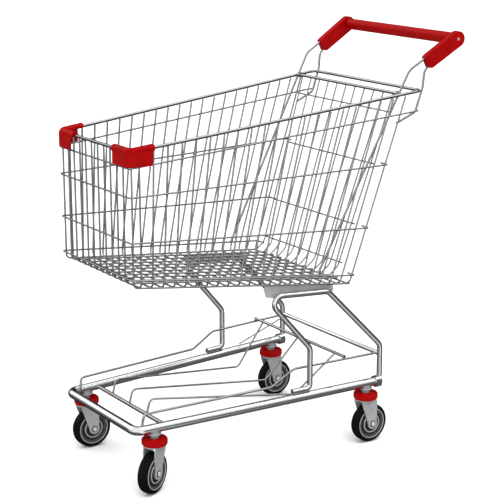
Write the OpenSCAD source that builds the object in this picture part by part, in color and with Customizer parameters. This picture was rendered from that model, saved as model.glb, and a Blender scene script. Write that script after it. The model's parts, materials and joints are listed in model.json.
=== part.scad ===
/* [Wheels and casters] */
// Diameter of each wheel over its tyre
wheel_d = 100; // [90:1:104]
// Width of each wheel
wheel_w = 26; // [22:1:30]
// Distance the wheel axle trails behind the swivel axis
trail = 12; // [8:1:16]
// Diameter of the red swivel cap
cap_d = 62; // [56:1:66]
// Height of the swivel cap's upper face above the floor
cap_z = 135; // [132:1:138]
// Turn of the front left caster as it stands, in degrees
front_left_turn = 207; // [0:1:359]
// Place of the rear casters, from the rear end of the base rail
caster_rear_x = 41; // [34:1:60]
// Place of the front casters, from the rear end of the base rail
caster_front_x = 642; // [610:1:642]

/* [Base frame] */
// Height of the base rail's centre line
rail_z = 157; // [154:1:162]
// Diameter of the base rail tube
rail_d = 22; // [20:1:25]
// Place of the rail's front run, from its rear ends
rail_front_x = 690; // [660:1:690]
// Half width between the rails at their rear ends
half_w = 210.5; // [190:0.5:230]
// How fast the sides close in toward the front, width per length
taper = 0.07; // [0.05:0.005:0.08]
// Diameter of the bent side supports
support_d = 14; // [12:1:16]
// Diameter of the rack wires
rack_d = 6; // [5:0.5:7]
// Height of the raised rear part of the rack
rack_z = 230; // [224:1:238]

/* [Basket] */
// Place of the basket's front panel
front_x = 690; // [686:1:700]
// Height of the rim line above the rail's rear end
rim_z = 883; // [860:1:890]
// Fall of the rim toward the front, height per length
rim_fall = 0.0954; // [0.08:0.001:0.11]
// Place of the rear cross run of the rim
rim_rear_x = -107; // [-112:1:-104]
// Diameter of the rim wire
rim_d = 8; // [7:0.5:9]
// Height of the basket floor at its rear edge
floor_rear_z = 427.8; // [424:0.1:430]
// Place of the floor's rear edge
floor_rear_x = 98; // [90:1:104]
// Rise of the floor toward the front, height per length
floor_rise = 0.12746; // [0.11:0.001:0.13]
// Diameter of the grid wires
wire_d = 4.5; // [4:0.5:5]
// Number of upright wires on each side
side_count = 21; // [12:1:24]
// Number of upright wires in the front panel
front_count = 12; // [8:1:14]

/* [Rear gate] */
// Diameter of the gate's top bar, which it swings on
gate_bar_d = 8; // [7:0.5:8]
// Diameter of the gate wires
gate_d = 4; // [3.5:0.5:4]
// Number of upright wires in the gate
gate_count = 11; // [7:1:13]

/* [Handle] */
// Diameter of the grip
grip_d = 29; // [24:0.5:31]
// Height of the grip's centre line
grip_z = 1013; // [1004:1:1020]
// Place of the grip's centre line
grip_x = -218; // [-222:1:-212]
// Thickness of the handle arms
arm_t = 16; // [14:1:18]
// Diameter of the wires that carry the handle
stay_d = 6; // [5:0.5:7]

/* [Hidden] */
$fn = 48;

gap = 0.06;
rail_r = rail_d / 2;
sup_r = support_d / 2;
rack_r = rack_d / 2;
rim_r = rim_d / 2;
wire_r = wire_d / 2;
gate_r = gate_d / 2;
bar_r = gate_bar_d / 2;
stay_r = stay_d / 2;
turn = atan(taper);

function side(x) = half_w - taper * x;
function rim_h(x) = rim_z - rim_fall * x;
function floor_h(x) = floor_rear_z + floor_rise * (x - floor_rear_x);
function at(x, z, s, off = 0) = [x, s * (side(x) + off), z];

// The handle's head sets the rear end and the front bumpers set the front end
arm_head_r = 19.5;
bumper_out = 11;
back_end = grip_x - arm_head_r * cos(turn) - arm_t / 2 * sin(turn);
front_end = front_x + bumper_out;
shift_x = -(back_end + front_end) / 2;
module placed() { translate([shift_x, 0, 0]) children(); }

// A straight round bar between two points
module bar(a, b, r) {
    v = b - a;
    l = norm(v);
    translate(a) rotate([0, acos(v[2] / l), atan2(v[1], v[0])]) cylinder(r = r, h = l);
}

function unit(v) = v / norm(v);
function angle(a, b) = acos(max(-1, min(1, a * b)));
// Length that a bend takes off each of the two straights that meet in corner i
function setback(p, rb, i) = (i <= 0 || i >= len(p) - 1) ? 0
    : rb[i] * tan(angle(unit(p[i] - p[i - 1]), unit(p[i + 1] - p[i])) / 2);

// A bent round bar through the points p with bend radius rb[i] at point i.
// A short collar a hair wider than the bar joins each straight to its bends,
// or the straights and bends stay apart by a hair when joined is false.
lap = 0.02;
collar = 0.05;
collar_len = 0.6;
module bent(p, rb, r, joined = true) {
    n_last = len(p) - 1;
    for (i = [0 : n_last - 1]) {
        d = unit(p[i + 1] - p[i]);
        s0 = setback(p, rb, i);
        s1 = setback(p, rb, i + 1);
        bar(p[i] + d * (s0 + (i > 0 ? lap : 0)), p[i + 1] - d * (s1 + (i < n_last - 1 ? lap : 0)), r);
        if (joined && i > 0) ring(p[i] + d * s0, d, r + collar);
        if (joined && i < n_last - 1) ring(p[i + 1] - d * s1, d, r + collar);
    }
    for (i = [1 : n_last - 1]) {
        a = unit(p[i] - p[i - 1]);
        b = unit(p[i + 1] - p[i]);
        n = unit(b - a * (a * b));
        c = p[i] - a * setback(p, rb, i) + n * rb[i];
        w = cross(-n, a);
        cut = lap / rb[i] * 180 / PI;
        multmatrix([[-n[0], a[0], w[0], c[0]], [-n[1], a[1], w[1], c[1]],
                    [-n[2], a[2], w[2], c[2]], [0, 0, 0, 1]])
            rotate([0, 0, cut]) rotate_extrude(angle = angle(a, b) - 2 * cut)
                translate([rb[i], 0]) circle(r = r);
    }
}
module ring(a, d, r) bar(a - d * collar_len / 2, a + d * collar_len / 2, r);

// ---- base frame
rail_path = [at(0, rail_z, 1), at(rail_front_x, rail_z, 1), at(rail_front_x, rail_z, -1),
    at(0, rail_z, -1)];
rail_bends = [0, 20, 20, 0];
module chassis_tube() color("silver") placed() difference() {
    bent(rail_path, rail_bends, rail_r);
    bent(rail_path, rail_bends, rail_r - 1.5);
}
module rail_plug(s) color("dimgray") placed() translate(at(0, rail_z, s))
    rotate([0, 0, -s * turn]) {
        translate([-3.05, 0, 0]) rotate([0, 90, 0]) cylinder(r = rail_r, h = 3);
        translate([-1, 0, 0]) rotate([0, 90, 0]) cylinder(r = rail_r - 1.56, h = 16);
    }
module rail_plug_left() rail_plug(1);
module rail_plug_right() rail_plug(-1);

cross_x = 611;
module front_crossbar() color("silver") placed() difference() {
    bar([cross_x, -side(cross_x), rail_z], [cross_x, side(cross_x), rail_z], 5);
    for (s = [-1, 1]) bar(at(cross_x - 60, rail_z, s), at(cross_x + 25, rail_z, s), rail_r + gap);
}

// Side supports: upright, top run under the basket, leg back down, foot on the rail
foot_z = rail_z + rail_r + sup_r + gap;
leg_x = 210.5;
foot_end = 262;
module support(s) color("silver") placed() {
    p = [at(0, rail_z + 13, s), at(0, 254, s), at(160, 418, s), at(340, 429.5, s),
        at(leg_x, 280, s), at(leg_x, foot_z, s), at(foot_end, foot_z, s)];
    bent(p, [0, 26, 26, 20, 26, 12, 0], sup_r);
    // pressed collar round the rail's end
    translate(at(0, rail_z, s)) rotate([0, 90, -s * turn]) difference() {
        translate([0, 0, -1]) linear_extrude(17) hull() for (z = [-5, 5], y = [-4, 4])
            translate([-z, y]) circle(r = 8.8);
        translate([0, 0, -10]) cylinder(r = rail_r + gap, h = 50);
    }
}
module support_left() support(1);
module support_right() support(-1);

module upper_cross_tube() color("silver") placed()
    difference() {
        bar([0, -side(0), rack_z - 1], [0, side(0), rack_z - 1], 5.5);
        for (s = [-1, 1]) bar(at(0, 180, s), at(0, 254, s), sup_r + gap);
    }

// ---- lower rack
rack_in = -(sup_r + rack_r + gap + 0.1);
rack_end = -(rail_r + rack_r + gap + 0.2);
rack_level = 192;
module rack_side_wire(s) color("silver") placed() bent(
    [at(668, rail_z - 4, s, rack_end), at(662, rack_level, s, rack_in),
     at(314, rack_level + 2, s, rack_in), at(250, rack_z, s, rack_in),
     at(5.8, rack_z - 1, s, rack_in)], [0, 11, 30, 24, 0], rack_r);
module rack_side_wire_left() rack_side_wire(1);
module rack_side_wire_right() rack_side_wire(-1);
rack_bar_x = 102;
rack_bar_z = rack_z - 0.6 + rack_r + 4 + gap;
module rack_rear_bar() color("silver") placed()
    bar(at(rack_bar_x, rack_bar_z, -1, rack_in + 3), at(rack_bar_x, rack_bar_z, 1, rack_in + 3), 4);
// The centre wires fall toward the rear, then turn up to the rear bar
module rack_centre_wires() color("silver") placed() for (i = [-1, 0, 1]) {
    low = [206, 127 * i, 138];
    top = [rack_bar_x, 158 * i, rack_bar_z];
    l = norm(top - low);
    bent([[cross_x + 1, 82 * i, rail_z + 5 + 0.6], [cross_x - 8, 83 * i, rack_level + 4],
          low, low + (top - low) * (1 - (4.1 + 0.7 * abs(i)) / l)], [0, 13, 18, 0], 2.5);
}
module brace_wire_right() color("silver") placed()
    bar(at(147, rail_z + rail_r + 2, -1, 5), at(7.4, 212, -1, 5), 2);

// Sheet brackets between the supports' top runs and the basket floor
module bracket(s) color("gainsboro") placed() {
    x0 = 138; x1 = 332;
    z0 = floor_h(x0) - wire_r - 0.3; z1 = floor_h(x1) - wire_r - 0.3;
    translate(at(0, 0, s, -sup_r - 1.2 - gap)) rotate([90, 0, -s * turn])
        translate([0, 0, -1]) linear_extrude(2) polygon([[x0 + 4, z0], [x1, z1],
            [x1 + 8, z1 - 6], [x1 + 2, z1 - 28], [x1 - 10, z1 - 32], [x0 + 6, z0 - 18], [x0, z0 - 12]]);
}
module bracket_left() bracket(1);
module bracket_right() bracket(-1);

// ---- basket
module basket_rim() color("silver") placed() {
    f = at(front_x, rim_h(front_x), 1);
    r = at(rim_rear_x, rim_h(rim_rear_x), 1);
    bent([[r[0], 0, r[2]], r, f, [f[0], -f[1], f[2]], [r[0], -r[1], r[2]], [r[0], 0, r[2]]],
         [0, 14, 14, 14, 14, 0], rim_r);
}

side_top_rear = -62;
side_front = front_x - 22;
function side_k(k) = k / (side_count - 1);
function top_x(k) = side_top_rear + (side_front - side_top_rear) * side_k(k);
function low_x(k) = floor_rear_x + (side_front - floor_rear_x) * side_k(k);
bend_r = 14;
module side_wires(s) color("silver") placed() for (k = [0 : side_count - 1]) {
    t = at(top_x(k), rim_h(top_x(k)), s);
    b = at(low_x(k), floor_h(low_x(k)), s);
    d = unit(t - b);
    lean = asin(abs(d * unit([1, -s * taper, -rim_fall])));
    bent([t - d * ((rim_r + gap + 0.1) / cos(lean) + wire_r * tan(lean)), b,
          b - [0, s * (bend_r + 0.5), 0]], [0, bend_r, 0], wire_r, joined = false);
}
module side_wires_left() side_wires(1);
module side_wires_right() side_wires(-1);

module floor_cross_wires() color("silver") placed() for (k = [0 : side_count - 1]) {
    x = low_x(k);
    y = side(x) - bend_r - 0.5 - 0.1;
    bar([x, -y, floor_h(x)], [x, y, floor_h(x)], wire_r);
}

// Front wires bend back under the floor. The outermost ones run along the basket's corner
// and back outside the bends of the side wires.
front_span = 158;
rear_span = 188;
long_off = wire_d + gap;
corner_x = front_x - 2.7;
corner_in = -bend_r + (bend_r + long_off) * sin(45);
corner_up = bend_r - (bend_r + long_off) * cos(45);
function inner(i) = i > 0 && i < front_count - 1;
function front_y(i) = front_span * (2 * i / (front_count - 1) - 1);
function long_y(i, x) = front_y(i) * (1 + (rear_span / front_span - 1) * (front_x - x)
    / (front_x - floor_rear_x));
function long_point(i, x) = inner(i) ? [x, long_y(i, x), floor_h(x) + long_off]
    : at(x, floor_h(x) + corner_up, sign(front_y(i)), corner_in);
function front_low(i) = long_point(i, inner(i) ? front_x : corner_x);
front_bend = 13;
module front_wires() color("silver") placed() for (i = [0 : front_count - 1]) {
    l = front_low(i);
    bent([[l[0], l[1], rim_h(l[0]) - rim_r - gap - (inner(i) ? 0.1 : 0.4)], l,
          long_point(i, l[0] - 16)], [0, front_bend, 0], wire_r);
}
module floor_long_wires() color("silver") placed() for (i = [0 : front_count - 1])
    bar(long_point(i, front_low(i)[0] - 16.15), long_point(i, floor_rear_x - 2.5), wire_r);

// Belts: heights at the rail's rear end and their rise toward the front
belt_z = [837, 718.4, 561.6, 439.1];
belt_rise = [-0.0809, -0.0059, 0.0697, 0.1206];
belt_out = wire_d + gap;
function belt_h(j, x) = belt_z[j] + belt_rise[j] * x;
function edge_x(z) = floor_rear_x + (side_top_rear - floor_rear_x)
    * (z - floor_rear_z) / (rim_h(side_top_rear) - floor_rear_z);
belt_split = front_x - 28;
return_len = 28;
// The top belt runs on to the rear stay, the others turn in round the rear edge
module belts_side(s) color("silver") placed() for (j = [0 : 3]) {
    x = j == 0 ? -97.6 : edge_x(belt_h(j, edge_x(belt_z[j]))) - belt_out - 1.2;
    z = belt_h(j, x);
    e = at(x, z, s, belt_out);
    bent([at(belt_split, belt_h(j, belt_split), s, belt_out), e,
          e - [0, s * (j == 0 ? 6.2 : return_len), 0]], [0, j == 0 ? 5 : 7, 0], wire_r);
}
module belts_left() belts_side(1);
module belts_right() belts_side(-1);
module belts_front() color("silver") placed() for (j = [0 : 3]) {
    x = front_x + belt_out;
    z = belt_h(j, x);
    bent([at(belt_split + 0.1, belt_h(j, belt_split + 0.1), 1, belt_out), at(x, z, 1, belt_out),
          at(x, z, -1, belt_out), at(belt_split + 0.1, belt_h(j, belt_split + 0.1), -1, belt_out)],
         [0, 9, 9, 0], wire_r);
}

// ---- handle stays
stay_in = -(rim_r + stay_r + gap + 0.1);
gate_x = -45;
gate_z = rim_h(gate_x) + 1.7;
function stay_x(z) = gate_x + (184.8 - gate_x) * (gate_z - z) / (gate_z - 464.7);
module stays(s) color("silver") placed() {
    bent([at(-136, 978.6, s, stay_in), at(-75.3, 944.9, s, stay_in),
          at(stay_x(466), 466, s, stay_in)], [0, 40, 0], stay_r);
    bent([at(-146, 961, s, stay_in), at(-121, 941, s, stay_in), at(-117, 900, s, stay_in),
          at(-96, 840, s, stay_in), at(-40, 817, s, stay_in)], [0, 24, 40, 18, 0], stay_r);
    // socket that the end of the gate's bar turns in
    translate([gate_x, s * socket_y, gate_z]) rotate([-s * 90, 0, 0]) difference() {
        translate([0, 0, -9]) cylinder(r = 6.5, h = 11);
        translate([0, 0, -10]) cylinder(r = bar_r + 0.05, h = 10);
    }
}
socket_y = side(gate_x) + stay_in - stay_r - 0.1;
module stays_left() stays(1);
module stays_right() stays(-1);

module gate_pivot_bar() color("silver") placed()
    bar([gate_x, -socket_y + 0.3, gate_z], [gate_x, socket_y - 0.3, gate_z], bar_r);

// ---- handle
head = [grip_x / cos(turn), grip_z];
module handle_arm(s) color("red") placed() difference() {
    translate(at(0, 0, s, stay_in)) rotate([90, 0, -s * turn]) translate([0, 0, -arm_t / 2]) {
        translate(head) cylinder(r = arm_head_r, h = arm_t);
        linear_extrude(arm_t) polygon([head + [9.9, 16.8], head + [96.3, -34.4],
            head + [101, -40], head + [87.6, -65.4], head + [78.6, -66.8], head + [-9.1, -17.2]]);
    }
    // sockets for the stays, the grip tube and the screw
    bar(at(-137, 979.2, s, stay_in), at(-75.3, 944.9, s, stay_in), stay_r + 0.05);
    bar(at(-147, 961.8, s, stay_in), at(-121, 941, s, stay_in), stay_r + 0.05);
    translate([grip_x, 0, grip_z]) rotate([-s * 90, 0, 0]) {
        cylinder(r = 8.05, h = core_half + 0.1);
        cylinder(r = 2.1, h = 300);
        translate([0, 0, screw_y]) cylinder(r = 4.1, h = 20);
    }
}
core_half = side(grip_x) + stay_in + 2;
screw_y = side(grip_x) + stay_in + arm_t / 2 - 2.8;
module handle_arm_left() handle_arm(1);
module handle_arm_right() handle_arm(-1);
module arm_screw(s) color("silver") placed() translate([grip_x, 0, grip_z])
    rotate([-s * 90, 0, 0]) {
        translate([0, 0, core_half + 0.15]) cylinder(r = 2.05, h = screw_y - core_half);
        translate([0, 0, screw_y + 0.05]) cylinder(r = 4, h = 2);
    }
module arm_screw_left() arm_screw(1);
module arm_screw_right() arm_screw(-1);
module grip_core() color("silver") placed()
    bar([grip_x, -core_half, grip_z], [grip_x, core_half, grip_z], 8);
module grip_sleeve() color("red") placed() difference() {
    bar([grip_x, -side(grip_x), grip_z], [grip_x, side(grip_x), grip_z], grip_d / 2);
    bar([grip_x, -300, grip_z], [grip_x, 300, grip_z], 8.05);
    for (s = [-1, 1]) translate(at(0, 0, s, stay_in - arm_t / 2 - 0.05)) rotate([0, 0, -s * turn])
        translate([-400, s > 0 ? 0 : -60, 900]) cube([400, 60, 200]);
}

// ---- corner bumpers
bumper_side = 50;
bumper_front = 62;
lip_more = 8;
module bumper(s) color("red") placed() {
    f = at(front_x, rim_h(front_x), s);
    a = at(front_x - bumper_side - lip_more, rim_h(front_x - bumper_side - lip_more), s);
    b = [front_x, s * (side(front_x) - bumper_front - lip_more), rim_h(front_x)];
    difference() {
        union() {
            bent([a, f, b], [0, 14, 0], 9.5);
            translate([0, 0, 784]) linear_extrude(34) difference() {
                bumper_plan(s, bumper_out);
                bumper_plan(s, 7.2);
            }
        }
        bent([at(front_x - 90, rim_h(front_x - 90), s), f, b - [0, s * 20, 0]], [0, 14, 0],
             rim_r + gap);
        // room under the rim for the upright wires
        translate([front_x, 0, rim_h(front_x) - 1]) rotate([0, atan(rim_fall), 0])
            translate([-front_x, 0, -14]) linear_extrude(14) bumper_plan(s, 7.2, lip_more + 5);
        translate([0, 0, 780]) linear_extrude(22) bumper_plan(s, 7.2);
    }
}
// Outline of the bumper in plan, at a given distance outside the wires
module bumper_plan(s, o, more = 0) {
    x1 = front_x + o;
    x0 = front_x - bumper_side - more;
    y1 = side(front_x) - bumper_front - more;
    r = 14 + o;
    yc = side(front_x) + o - r;
    polygon([[x0, s * (side(x0) + o)], [x1 - r, s * (side(x1 - r) + o)], [x1 - r, s * yc],
             [x1, s * yc], [x1, s * y1], [x0, s * y1]]);
    translate([x1 - r, s * (yc + taper * o)]) circle(r = r);
}
module bumper_left() bumper(1);
module bumper_right() bumper(-1);

// ---- rear gate, whose wires end on the underside of its top bar
gate_tilt = 18.68;
gate_len = 442;
gate_tip = 25;
module in_gate() translate([gate_x, 0, gate_z]) rotate([0, -gate_tilt, 0]) children();
gate_y = 186;
module gate_wires() color("silver") placed() in_gate() for (i = [0 : gate_count - 1]) {
    y = gate_y * (2 * i / (gate_count - 1) - 1);
    translate([0, y, 0]) rotate([-atan(0.062 * y / gate_y), 0, 0]) {
        bent([[0, 0, -bar_r - 0.1], [0, 0, -gate_len - 9.5],
              [gate_tip * sin(35) + 5, 0, -gate_len - 9.5 - (gate_tip + 8.7) * cos(35)]],
             [0, 30, 0], gate_r);
    }
}
gate_belt = [47.5, 180.5, 336.7, 438];
module gate_cross_wires() color("silver") placed() in_gate() for (b = gate_belt) {
    l = 195 - 0.068 * b;
    bar([-gate_d - gap, -l, -b], [-gate_d - gap, l, -b], gate_r);
}

// ---- casters
wheel_r = wheel_d / 2;
pin_r = 6;
crown_t = 3.5;
crown_z = cap_z - 17 - crown_t;
leg_in = wheel_w / 2 + 1.5;
leg_t = 3;
leg_out = leg_in + leg_t;
axle_r = 4;
// Moves a caster part, drawn round the swivel axis, to its corner
module at_caster(f, s) placed() translate([f ? caster_front_x : caster_rear_x,
    s * side(f ? caster_front_x : caster_rear_x), 0]) children();
module turned(a) rotate([0, 0, a]) children();

module mount(f, s) color("silver") at_caster(f, s) difference() {
    union() {
        translate([0, 0, crown_z + crown_t + 0.3]) cylinder(r = 10, h = 24);
        translate([0, 0, crown_z - 0.3]) cylinder(r = pin_r, h = 6);
        translate([0, 0, crown_z - 3.3]) cylinder(r = 9, h = 3);
        translate([0, 0, cap_z + 7]) cylinder(r1 = 14, r2 = 16, h = 1);
        translate([0, 0, cap_z + 8]) cylinder(r = 16, h = 2.4);
        translate([0, 0, cap_z + 3]) cylinder(r1 = 10, r2 = 11.5, h = 12);
    }
    translate([0, 0, rail_z]) rotate([0, 0, -s * turn]) rotate([0, 90, 0])
        translate([0, 0, -40]) cylinder(r = rail_r + gap, h = 80);
    translate([-20, -20, rail_z - 1]) cube([40, 40, 20]);
}
module cap(a, f, s) color("red") at_caster(f, s) turned(a)
    rotate_extrude($fn = 64) polygon([[11, cap_z - 5], [cap_d / 2 - 4, cap_z - 14.5],
        [cap_d / 2 - 4, cap_z - 16.9], [cap_d / 2 - 1.8, cap_z - 16.9], [cap_d / 2, cap_z - 14],
        [cap_d / 2, cap_z - 4], [cap_d / 2 - 2.2, cap_z - 1.4], [cap_d / 2 - 6, cap_z - 0.6],
        [14, cap_z], [11, cap_z - 0.6]]);
module fork(a, f, s) color("gainsboro") at_caster(f, s) turned(a) difference() {
    union() {
        translate([0, 0, crown_z]) intersection() {
            cylinder(r = 28, h = crown_t);
            translate([-30, -leg_out, 0]) cube([60, 2 * leg_out, crown_t]);
        }
        translate([0, 0, crown_z + crown_t - 0.5]) cylinder(r = 20, h = 6.6);
        for (y = [-leg_out, leg_in]) translate([0, y + leg_t, 0]) rotate([90, 0, 0]) {
            linear_extrude(leg_t) polygon([[-22, crown_z + crown_t], [22, crown_z + crown_t],
                [22, crown_z - 6], [12 - trail, wheel_r - 6], [-12 - trail, wheel_r - 6],
                [-25, wheel_r + 22], [-25, crown_z - 6]]);
            translate([-trail, wheel_r, 0]) cylinder(r = 14, h = leg_t);
        }
    }
    translate([0, 0, crown_z - 1]) cylinder(r = pin_r + 0.05, h = 20);
    translate([0, 0, crown_z + crown_t]) cylinder(r = 10.6, h = 20);
    translate([-trail, 40, wheel_r]) rotate([90, 0, 0]) cylinder(r = axle_r + 0.02, h = 80);
}
module axle(a, f, s) color("silver") at_caster(f, s) turned(a)
    translate([-trail, 0, wheel_r]) rotate([90, 0, 0]) {
        translate([0, 0, -leg_out - 7.5]) cylinder(r = axle_r, h = 2 * leg_out + 12);
        translate([0, 0, -leg_out - 6.5]) cylinder(r = 6.5, h = 6.4, $fn = 6);
        translate([0, 0, leg_out + 0.1]) cylinder(r = 6.5, h = 5, $fn = 6);
    }
module wheel(a, f, s) at_caster(f, s) turned(a)
    translate([-trail, 0, wheel_r]) rotate([90, 0, 0]) children();
hub_r = wheel_r - 11;
module hub(a, f, s) color("dimgray") wheel(a, f, s) difference() {
    rotate_extrude($fn = 64) polygon([[axle_r + 0.05, -wheel_w / 2 - 0.9], [9, -wheel_w / 2 - 0.9],
        [11, -wheel_w / 2 + 1.5], [13, -wheel_w / 2 + 4], [21, -wheel_w / 2 + 4],
        [22, -wheel_w / 2 + 1.5], [25, -wheel_w / 2 + 1.5], [26, -wheel_w / 2 + 4],
        [33, -wheel_w / 2 + 3], [34, -wheel_w / 2 + 0.8], [hub_r, -wheel_w / 2 + 0.8],
        [hub_r, wheel_w / 2 - 0.8], [34, wheel_w / 2 - 0.8], [33, wheel_w / 2 - 3],
        [26, wheel_w / 2 - 4], [25, wheel_w / 2 - 1.5], [22, wheel_w / 2 - 1.5],
        [21, wheel_w / 2 - 4], [13, wheel_w / 2 - 4], [11, wheel_w / 2 - 1.5],
        [9, wheel_w / 2 + 0.9], [axle_r + 0.05, wheel_w / 2 + 0.9]]);
}
module tyre(a, f, s) color("black") wheel(a, f, s)
    rotate_extrude($fn = 64) polygon([[hub_r + 0.03, -wheel_w / 2 + 1], [wheel_r - 5, -wheel_w / 2],
        [wheel_r - 2.2, -wheel_w / 2 + 1.6], [wheel_r - 0.4, -wheel_w / 2 + 6],
        [wheel_r, -wheel_w / 2 + 10], [wheel_r, wheel_w / 2 - 10],
        [wheel_r - 0.4, wheel_w / 2 - 6], [wheel_r - 2.2, wheel_w / 2 - 1.6],
        [wheel_r - 5, wheel_w / 2], [hub_r + 0.03, wheel_w / 2 - 1]]);

module caster_fl_mount() mount(true, 1);
module caster_fl_cap() cap(front_left_turn, true, 1);
module caster_fl_fork() fork(front_left_turn, true, 1);
module caster_fl_axle() axle(front_left_turn, true, 1);
module caster_fl_hub() hub(front_left_turn, true, 1);
module caster_fl_tyre() tyre(front_left_turn, true, 1);
module caster_fr_mount() mount(true, -1);
module caster_fr_cap() cap(0, true, -1);
module caster_fr_fork() fork(0, true, -1);
module caster_fr_axle() axle(0, true, -1);
module caster_fr_hub() hub(0, true, -1);
module caster_fr_tyre() tyre(0, true, -1);
module caster_rl_mount() mount(false, 1);
module caster_rl_cap() cap(0, false, 1);
module caster_rl_fork() fork(0, false, 1);
module caster_rl_axle() axle(0, false, 1);
module caster_rl_hub() hub(0, false, 1);
module caster_rl_tyre() tyre(0, false, 1);
module caster_rr_mount() mount(false, -1);
module caster_rr_cap() cap(0, false, -1);
module caster_rr_fork() fork(0, false, -1);
module caster_rr_axle() axle(0, false, -1);
module caster_rr_hub() hub(0, false, -1);
module caster_rr_tyre() tyre(0, false, -1);

chassis_tube();
rail_plug_left();
rail_plug_right();
front_crossbar();
support_left();
support_right();
upper_cross_tube();
rack_side_wire_left();
rack_side_wire_right();
rack_rear_bar();
rack_centre_wires();
brace_wire_right();
bracket_left();
bracket_right();
basket_rim();
side_wires_left();
side_wires_right();
front_wires();
floor_long_wires();
floor_cross_wires();
belts_left();
belts_right();
belts_front();
gate_pivot_bar();
stays_left();
stays_right();
handle_arm_left();
handle_arm_right();
grip_sleeve();
grip_core();
arm_screw_left();
arm_screw_right();
bumper_left();
bumper_right();
gate_wires();
gate_cross_wires();
caster_fl_mount();
caster_fl_cap();
caster_fl_fork();
caster_fl_axle();
caster_fl_hub();
caster_fl_tyre();
caster_fr_mount();
caster_fr_cap();
caster_fr_fork();
caster_fr_axle();
caster_fr_hub();
caster_fr_tyre();
caster_rl_mount();
caster_rl_cap();
caster_rl_fork();
caster_rl_axle();
caster_rl_hub();
caster_rl_tyre();
caster_rr_mount();
caster_rr_cap();
caster_rr_fork();
caster_rr_axle();
caster_rr_hub();
caster_rr_tyre();
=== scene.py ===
import json
import math
import bpy
import bmesh
from mathutils import Vector, Matrix


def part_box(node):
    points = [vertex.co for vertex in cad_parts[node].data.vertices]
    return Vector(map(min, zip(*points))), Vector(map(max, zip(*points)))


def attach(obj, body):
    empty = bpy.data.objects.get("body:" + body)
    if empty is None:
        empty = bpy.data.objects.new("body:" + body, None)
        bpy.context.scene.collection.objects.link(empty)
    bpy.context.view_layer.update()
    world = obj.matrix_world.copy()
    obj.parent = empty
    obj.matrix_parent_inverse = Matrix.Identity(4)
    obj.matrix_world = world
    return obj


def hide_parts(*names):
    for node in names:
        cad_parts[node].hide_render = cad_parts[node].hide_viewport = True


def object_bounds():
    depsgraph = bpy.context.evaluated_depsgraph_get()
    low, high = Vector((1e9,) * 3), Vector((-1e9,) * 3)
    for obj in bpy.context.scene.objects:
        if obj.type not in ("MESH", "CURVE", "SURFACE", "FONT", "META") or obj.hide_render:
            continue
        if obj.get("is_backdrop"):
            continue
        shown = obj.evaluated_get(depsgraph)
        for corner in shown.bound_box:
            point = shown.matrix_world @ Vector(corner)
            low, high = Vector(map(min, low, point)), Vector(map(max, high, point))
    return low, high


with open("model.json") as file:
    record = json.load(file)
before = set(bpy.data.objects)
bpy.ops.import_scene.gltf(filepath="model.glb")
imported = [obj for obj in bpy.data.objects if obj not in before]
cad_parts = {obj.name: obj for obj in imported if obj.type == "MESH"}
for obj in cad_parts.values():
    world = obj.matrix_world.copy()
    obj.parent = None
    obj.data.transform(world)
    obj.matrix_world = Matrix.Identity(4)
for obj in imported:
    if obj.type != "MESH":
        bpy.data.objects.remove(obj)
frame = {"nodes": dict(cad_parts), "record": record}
nodes = frame["nodes"]
record = frame["record"]
low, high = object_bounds()

SIDES = ("left", "right")
CORNERS = ("fl", "fr", "rl", "rr")


def add_object(name, data):
    obj = bpy.data.objects.new(name, data)
    bpy.context.scene.collection.objects.link(obj)
    return obj


def aimed_along(direction):
    """Rotation that points a camera or a lamp along a direction."""
    return Vector(direction).to_track_quat("-Z", "Y").to_euler()


# ---- camera, in metres and radians
CAMERA_AHEAD = 1.59574  # ahead of the part's front end
CAMERA_LEFT = 2.94508
CAMERA_UP = 1.43974
CAMERA_YAW = -2.177
CAMERA_PITCH = -0.258
SENSOR_WIDTH = 36  # mm
LENS_LENGTH = 106.1  # mm
CAMERA_REACH = 200


def add_camera():
    data = bpy.data.cameras.new("camera")
    data.sensor_width = SENSOR_WIDTH
    data.lens = LENS_LENGTH
    data.clip_end = CAMERA_REACH
    cam = add_object("camera", data)
    cam.location = (high[0] + CAMERA_AHEAD, CAMERA_LEFT, CAMERA_UP)
    level = math.cos(CAMERA_PITCH)
    cam.rotation_euler = aimed_along((level * math.cos(CAMERA_YAW), level * math.sin(CAMERA_YAW),
                                      math.sin(CAMERA_PITCH)))
    bpy.context.scene.camera = cam


add_camera()
bpy.context.scene.view_settings.view_transform = "Standard"


# ---- node-tree helpers
def new_material(name):
    m = bpy.data.materials.new(name)
    m.use_nodes = True
    tree = m.node_tree
    tree.nodes.clear()
    out = tree.nodes.new("ShaderNodeOutputMaterial")
    shader = tree.nodes.new("ShaderNodeBsdfPrincipled")
    tree.links.new(shader.outputs[0], out.inputs[0])
    return m, tree, shader


def noise(tree, scale, detail):
    place = tree.nodes.new("ShaderNodeTexCoord")
    n = tree.nodes.new("ShaderNodeTexNoise")
    n.inputs["Scale"].default_value = scale
    n.inputs["Detail"].default_value = detail
    n.inputs["Roughness"].default_value = 0.55
    tree.links.new(place.outputs["Object"], n.inputs["Vector"])
    return n.outputs["Fac"]


def mottle(tree, shader, dark, light, scale, detail):
    """Lets the base colour drift between two colours in soft patches."""
    r = tree.nodes.new("ShaderNodeValToRGB")
    for element, position, colour in zip(r.color_ramp.elements, (0.3, 0.7), (dark, light)):
        element.position = position
        element.color = (*colour, 1)
    tree.links.new(noise(tree, scale, detail), r.inputs[0])
    tree.links.new(r.outputs[0], shader.inputs["Base Color"])


def uneven_roughness(tree, shader, limits, scale, detail):
    n = tree.nodes.new("ShaderNodeMapRange")
    n.inputs["To Min"].default_value, n.inputs["To Max"].default_value = limits
    tree.links.new(noise(tree, scale, detail), n.inputs["Value"])
    tree.links.new(n.outputs[0], shader.inputs["Roughness"])


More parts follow.
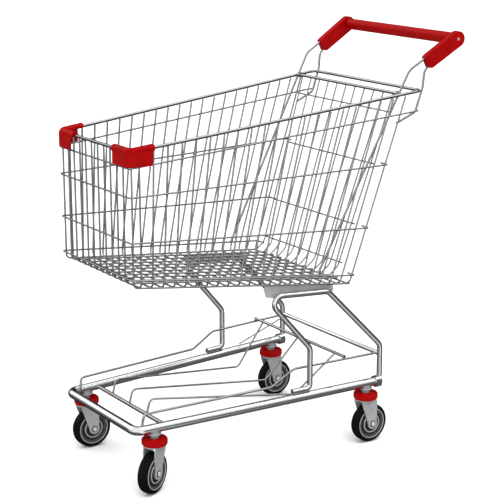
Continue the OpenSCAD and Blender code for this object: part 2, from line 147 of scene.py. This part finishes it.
def grain(tree, shader, scale, strength, distance):
    """Fine unevenness of the surface, distance in metres."""
    b = tree.nodes.new("ShaderNodeBump")
    b.inputs["Strength"].default_value = strength
    b.inputs["Distance"].default_value = distance
    tree.links.new(noise(tree, scale, 2), b.inputs["Height"])
    tree.links.new(b.outputs[0], shader.inputs["Normal"])


# ---- materials of the part
def metal(name, colour, shade, rough, grazing_shade, metallic=1.0):
    """Steel whose patches go down to shade times its colour; the edge tint darkens its reflection at
    grazing angles, painted dark outlines where the surface turns away.
    """
    m, tree, shader = new_material(name)
    mottle(tree, shader, [c * shade for c in colour], colour, scale=55, detail=5)
    uneven_roughness(tree, shader, rough, scale=180, detail=3)
    grain(tree, shader, scale=900, strength=0.12, distance=0.0002)
    shader.inputs["Metallic"].default_value = metallic
    # painted shade: a dark specular tint dims the reflection where the surface turns away
    shader.inputs["Specular Tint"].default_value = (grazing_shade, grazing_shade, grazing_shade, 1)
    return m


def plastic(name, dark, light, rough, grain_scale, grain_strength, gloss=0.3):
    """Moulded plastic or rubber between two colours, with a moulded grain."""
    m, tree, shader = new_material(name)
    mottle(tree, shader, dark, light, scale=30, detail=6)
    uneven_roughness(tree, shader, rough, scale=120, detail=4)
    grain(tree, shader, grain_scale, grain_strength, distance=0.0003)
    shader.inputs["Specular IOR Level"].default_value = gloss
    return m


mats = {
    # the edge values tint the grazing reflection dark, painted outlines on these metals
    "wire_steel": metal("wire_steel", (0.42, 0.425, 0.435), shade=0.82, rough=(0.14, 0.26), grazing_shade=0.2),
    "tube_steel": metal("tube_steel", (0.78, 0.785, 0.80), shade=0.9, rough=(0.08, 0.16), grazing_shade=0.2),
    "caster_zinc": metal("caster_zinc", (0.45, 0.455, 0.463), shade=0.78, rough=(0.36, 0.52),
                         grazing_shade=0.5, metallic=0.4),
    "bolt_steel": metal("bolt_steel", (0.70, 0.70, 0.69), shade=0.85, rough=(0.2, 0.34),
                        grazing_shade=0.5, metallic=0.55),
    "red_plastic": plastic("red_plastic", (0.24, 0.0002, 0.0004), (0.30, 0.0004, 0.0006),
                           rough=(0.3, 0.42), grain_scale=900, grain_strength=0.12, gloss=0.05),
    "plug_plastic": plastic("plug_plastic", (0.01, 0.01, 0.011), (0.016, 0.016, 0.018),
                            rough=(0.4, 0.55), grain_scale=900, grain_strength=0.3),
    "wheel_plastic": plastic("wheel_plastic", (0.044, 0.045, 0.048), (0.062, 0.063, 0.066),
                             rough=(0.36, 0.5), grain_scale=900, grain_strength=0.25),
    "tyre_rubber": plastic("tyre_rubber", (0.0025, 0.0025, 0.003), (0.0045, 0.0045, 0.005),
                           rough=(0.5, 0.68), grain_scale=700, grain_strength=0.3, gloss=0.05),
}

for part in record["subparts"]:
    slots = nodes[part["node"]].data.materials
    slots.clear()
    slots.append(mats[part["material_slot"]])


# ---- rounded edges on the moulded parts and the pressed forks, in metres and degrees
WELD_GAP = 0.00003
SHARP_EDGE = 30


def rounded(node, width, segments):
    """Joins the mesh's loose faces, then rounds its sharp edges."""
    weld = nodes[node].modifiers.new("weld", "WELD")
    weld.merge_threshold = WELD_GAP
    bevel = nodes[node].modifiers.new("round", "BEVEL")
    bevel.limit_method = "ANGLE"
    bevel.angle_limit = math.radians(SHARP_EDGE)
    bevel.width = width
    bevel.segments = segments
    bevel.use_clamp_overlap = True


for side in SIDES:
    rounded("handle_arm_" + side, 0.0035, 4)
    rounded("bumper_" + side, 0.0012, 3)
for corner in CORNERS:
    rounded("caster_%s_fork" % corner, 0.0008, 2)


# ---- turned pieces, from closed outlines of (radius, height) in millimetres
SEGMENTS = 64
CREASE = 32  # degrees between faces past which an edge is shaded sharp
MILLIMETRE = 0.001
BEAD_STEPS = 8
DOME_STEPS = 9


def arc(r, h, rad, start, end, steps):
    """Points round a centre at (r, h), from one angle to another in degrees."""
    points = []
    for i in range(steps + 1):
        a = math.radians(start + (end - start) * i / steps)
        points.append((r + rad * math.cos(a), h + rad * math.sin(a)))
    return points


def on_both_faces(outline):
    return [outline, [(r, -h) for r, h in outline]]


def revolve(name, outlines, joint, slot, body):
    """Spins closed outlines round a joint's axis and lets the piece ride a body."""
    bm = bmesh.new()
    turn = Vector(joint["axis"]).to_track_quat("Z", "X").to_matrix().to_4x4()
    place = Matrix.Translation(Vector(joint["pos_m"])) @ turn @ Matrix.Scale(MILLIMETRE, 4)
    for outline in outlines:
        rings = []
        for r, h in outline:
            angles = [2 * math.pi * i / SEGMENTS for i in range(SEGMENTS)]
            rings.append([bm.verts.new(place @ Vector((r * math.cos(a), r * math.sin(a), h)))
                          for a in angles])
        for ring, after in zip(rings, rings[1:] + rings[:1]):
            for i in range(SEGMENTS):
                k = (i + 1) % SEGMENTS
                bm.faces.new((ring[i], ring[k], after[k], after[i]))
    bmesh.ops.remove_doubles(bm, verts=bm.verts, dist=1e-6)
    bmesh.ops.dissolve_degenerate(bm, edges=bm.edges, dist=1e-7)
    bmesh.ops.recalc_face_normals(bm, faces=bm.faces)
    for f in bm.faces:
        f.smooth = True
    mesh = bpy.data.meshes.new(name)
    bm.to_mesh(mesh)
    bm.free()
    mesh.set_sharp_from_angle(angle=math.radians(CREASE))
    mesh.materials.append(mats[slot])
    obj = add_object(name, mesh)
    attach(obj, body)
    return obj


# ---- wheel and axle dressing, in millimetres, with the axle along the outline's height
tyre_low, tyre_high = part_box("caster_rl_tyre")
TYRE_SIDE = (tyre_high[1] - tyre_low[1]) * 500  # half the tyre's width
TYRE_RADIUS = (tyre_high[2] - tyre_low[2]) * 500
FORK_SIDE = TYRE_SIDE + 4.5  # outer face of the fork's leg
SEAT_RADIUS = TYRE_RADIUS - 11.2  # where the tyre meets the hub
SEAT_DEPTH = 0.4
SEAT_BEAD = 1.0
FACE_RING_RADIUS = 23.4  # raised ring on the hub's face
FACE_RING_DEPTH = 1.2
FACE_RING_BEAD = 1.6
FOOT_LIP = 0.2  # how far a ring's foot reaches inward past its bead
NUT_RADIUS = 6.3
NUT_HEIGHT = 2.4
NUT_DOME = 0.42  # height of the dome over its radius
AXLE_RADIUS = 4.0
AXIS_GAP = 0.02  # hole left at the tip of a dome
LEG_GAP = 0.05  # between the fork's leg and what sits on it


def below_side(points):
    """Turns depths below the tyre's side into heights."""
    return [(r, TYRE_SIDE - depth) for r, depth in points]


def seat_ring():
    """Half-round bead on a foot that is a little wider on the inside."""
    height = TYRE_SIDE - SEAT_DEPTH
    inner, foot = SEAT_RADIUS - SEAT_BEAD - FOOT_LIP, height - 0.8
    bead = arc(SEAT_RADIUS, height, SEAT_BEAD, 180, 0, BEAD_STEPS)
    return [(inner, height - 0.5)] + bead + [(SEAT_RADIUS + SEAT_BEAD, foot), (inner, foot)]


def face_ring():
    """Half-round bead on a tall foot."""
    height = TYRE_SIDE - FACE_RING_DEPTH
    foot = height - 2.6
    bead = arc(FACE_RING_RADIUS, height, FACE_RING_BEAD, 180, 0, BEAD_STEPS)
    inner, outer = FACE_RING_RADIUS - FACE_RING_BEAD - FOOT_LIP, FACE_RING_RADIUS + FACE_RING_BEAD
    return [(inner, foot)] + bead + [(outer, foot)]


def outer_channel_shade():
    """Dished band between the face ring and the hub's rim, a black lining that paints shade into the
    recess.
    """
    return below_side([(25.9, 3.9), (25.9, 3.4), (29.6, 3.0), (31.4, 2.6), (31.6, 3.3)])


def inner_channel_shade():
    """Dished band between the face ring and the axle, a black lining that paints shade into the
    recess.
    """
    return below_side([(12.8, 4.2), (12.8, 3.6), (17.0, 3.2), (21.2, 3.6), (21.2, 4.2)])


def axle():
    """Hidden shaft with a domed nut at each end."""
    seat, top = FORK_SIDE + LEG_GAP, FORK_SIDE + NUT_HEIGHT
    quarter = arc(0, 0, NUT_RADIUS, 0, 90, DOME_STEPS)
    dome = [(max(r, AXIS_GAP), top + NUT_DOME * h) for r, h in quarter]
    upper_end = [(AXLE_RADIUS, seat), (NUT_RADIUS, seat)] + dome
    lower_end = [(r, -h) for r, h in reversed(upper_end)]
    return lower_end + upper_end


def axle_washer():
    """Rounded ring round the nut: (radius, height above the fork's leg)."""
    points = [(6.4, LEG_GAP), (6.4, 1.3), (7.2, 1.5), (8.0, 1.2), (8.4, 0.5), (8.4, LEG_GAP)]
    return [(r, FORK_SIDE + h) for r, h in points]


joints = {j["name"]: j for j in record["behaviour"]["joints"]}
for c in CORNERS:
    spin, wheel, fork = joints["spin_" + c], "wheel_" + c, "caster_" + c
    # zinc-coloured beads on the hub: painted highlight, a light colour where the beads catch the
    # light
    revolve("hub_highlight_rings_" + c, on_both_faces(seat_ring()) + on_both_faces(face_ring()),
            spin, "caster_zinc", wheel)
    # black linings in the hub's recesses: painted shade
    revolve("hub_channel_shade_" + c, on_both_faces(outer_channel_shade()) + on_both_faces(inner_channel_shade()),
            spin, "plug_plastic", wheel)
    new = revolve("axle_" + c, [axle()], spin, "bolt_steel", fork)
    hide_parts("caster_%s_axle" % c)
    revolve("axle_washer_" + c, on_both_faces(axle_washer()), spin, "plug_plastic", fork)


# ---- floor, in metres
FLOOR_SIZE = 40
FLOOR_GAP = 0.0005  # under the wheels


def add_floor():
    """Plain pale floor just under the wheels, not seen in reflections."""
    bm = bmesh.new()
    bmesh.ops.create_grid(bm, x_segments=8, y_segments=8, size=FLOOR_SIZE)
    mesh = bpy.data.meshes.new("floor")
    bm.to_mesh(mesh)
    bm.free()
    m, tree, shader = new_material("floor")
    mottle(tree, shader, (0.88,) * 3, (0.9,) * 3, scale=3, detail=3)
    shader.inputs["Roughness"].default_value = 0.9
    mesh.materials.append(m)
    obj = add_object("floor", mesh)
    obj.location.z = low[2] - FLOOR_GAP
    obj.visible_glossy = False
    return obj


floor = add_floor()
floor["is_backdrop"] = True


# ---- studio light. A lobe is the direction toward the light, the angles in degrees off that
# direction at which it starts to fade and at which it ends, and its level.
ROOM = ((0.55, 0.79, 0.26), 112, 146, 1.0)  # all round the camera, dark behind the part
OVERHEAD = ((0.4, 0.2, 0.9), 56, 95, 0.97)  # fades toward the floor
HIGHLIGHTS = (
    ((-0.45, 0.15, 0.88), 12, 38, 1.2),
    ((0.3, -0.75, 0.58), 10, 34, 0.9),
    ((0.2, 0.95, -0.25), 8, 30, 0.7),
    ((-0.1, 0.8, -0.59), 8, 24, 0.75),
)
LOW_FILL = 0.09  # from below, on the camera's side
FILL = 0.04  # from everywhere


def add_world():
    world = bpy.data.worlds.new("studio")
    bpy.context.scene.world = world
    world.use_nodes = True
    tree = world.node_tree
    tree.nodes.clear()
    out = tree.nodes.new("ShaderNodeOutputWorld")
    back = tree.nodes.new("ShaderNodeBackground")
    back.inputs["Color"].default_value = (0.985, 0.99, 1.0, 1)
    tree.links.new(back.outputs[0], out.inputs[0])
    sky = tree.nodes.new("ShaderNodeTexCoord")

    def lobe(direction, near, far, level):
        dot = tree.nodes.new("ShaderNodeVectorMath")
        dot.operation = "DOT_PRODUCT"
        tree.links.new(sky.outputs["Generated"], dot.inputs[0])
        dot.inputs[1].default_value = Vector(direction).normalized()
        fade = tree.nodes.new("ShaderNodeMapRange")
        fade.interpolation_type = "SMOOTHSTEP"
        fade.inputs["From Min"].default_value = math.cos(math.radians(far))
        fade.inputs["From Max"].default_value = math.cos(math.radians(near))
        fade.inputs["To Max"].default_value = level
        tree.links.new(dot.outputs["Value"], fade.inputs["Value"])
        return fade.outputs[0]

    def combine(operation, first, second):
        n = tree.nodes.new("ShaderNodeMath")
        n.operation = operation
        tree.links.new(first, n.inputs[0])
        if isinstance(second, float):
            n.inputs[1].default_value = second
        else:
            tree.links.new(second, n.inputs[1])
        return n.outputs[0]

    upper = combine("ADD", lobe(*OVERHEAD), LOW_FILL)
    total = combine("ADD", combine("MULTIPLY", lobe(*ROOM), upper), FILL)
    for highlight in HIGHLIGHTS:
        total = combine("ADD", total, lobe(*highlight))
    tree.links.new(total, back.inputs["Strength"])


def add_sun():
    """Wide soft sun that gives the shadow and no highlight of its own."""
    sun = bpy.data.lights.new("sun", "SUN")
    sun.energy = 1.7
    sun.angle = math.radians(50)
    lamp = add_object("sun", sun)
    lamp.rotation_euler = aimed_along((-0.25, -0.45, -0.86))
    lamp.visible_glossy = False


add_world()
add_sun()

low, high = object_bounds()
